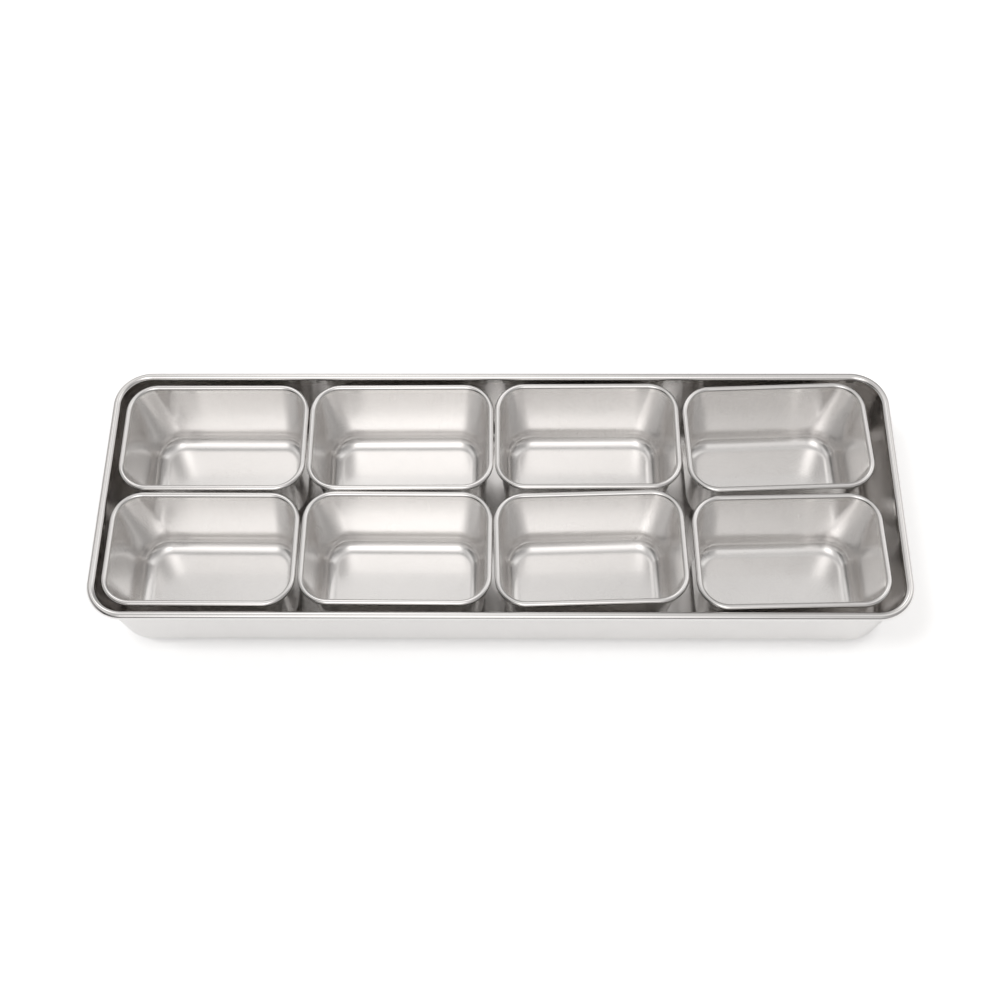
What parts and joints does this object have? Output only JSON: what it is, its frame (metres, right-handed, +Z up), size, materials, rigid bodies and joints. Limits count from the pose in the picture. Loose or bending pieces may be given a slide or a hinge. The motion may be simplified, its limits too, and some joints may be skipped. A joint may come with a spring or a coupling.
{
  "type": "condiment tray",
  "caption": "Long drawn stainless steel tray with a rolled rim, holding small loose rectangular pans that each lift straight out.",
  "frame": {"origin": "centre of the tray's flat underside, on the surface that it rests on", "axes": "+X along the tray's long side, +Y from its front long wall to its back long wall, +Z up"},
  "size_m": [0.48, 0.164, 0.0635],
  "materials": {
    "polished_steel": "bright, lightly polished stainless sheet",
    "satin_steel": "satin stainless sheet with fine draw marks"
  },
  "bodies": {
    "tray": {"tray": "polished_steel"},
    "pan_back_1": {"pan_back_1": "satin_steel"},
    "pan_back_2": {"pan_back_2": "satin_steel"},
    "pan_back_3": {"pan_back_3": "satin_steel"},
    "pan_back_4": {"pan_back_4": "satin_steel"},
    "pan_front_1": {"pan_front_1": "satin_steel"},
    "pan_front_2": {"pan_front_2": "satin_steel"},
    "pan_front_3": {"pan_front_3": "satin_steel"},
    "pan_front_4": {"pan_front_4": "satin_steel"}
  },
  "joints": [
    {"name": "lift_back_1", "type": "slide", "parent": "tray", "child": "pan_back_1", "axis": [0, 0, 1], "range_m": [0, 0.08]},
    {"name": "lift_back_2", "type": "slide", "parent": "tray", "child": "pan_back_2", "axis": [0, 0, 1], "range_m": [0, 0.08]},
    {"name": "lift_back_3", "type": "slide", "parent": "tray", "child": "pan_back_3", "axis": [0, 0, 1], "range_m": [0, 0.08]},
    {"name": "lift_back_4", "type": "slide", "parent": "tray", "child": "pan_back_4", "axis": [0, 0, 1], "range_m": [0, 0.08]},
    {"name": "lift_front_1", "type": "slide", "parent": "tray", "child": "pan_front_1", "axis": [0, 0, 1], "range_m": [0, 0.08]},
    {"name": "lift_front_2", "type": "slide", "parent": "tray", "child": "pan_front_2", "axis": [0, 0, 1], "range_m": [0, 0.08]},
    {"name": "lift_front_3", "type": "slide", "parent": "tray", "child": "pan_front_3", "axis": [0, 0, 1], "range_m": [0, 0.08]},
    {"name": "lift_front_4", "type": "slide", "parent": "tray", "child": "pan_front_4", "axis": [0, 0, 1], "range_m": [0, 0.08]}
  ]
}
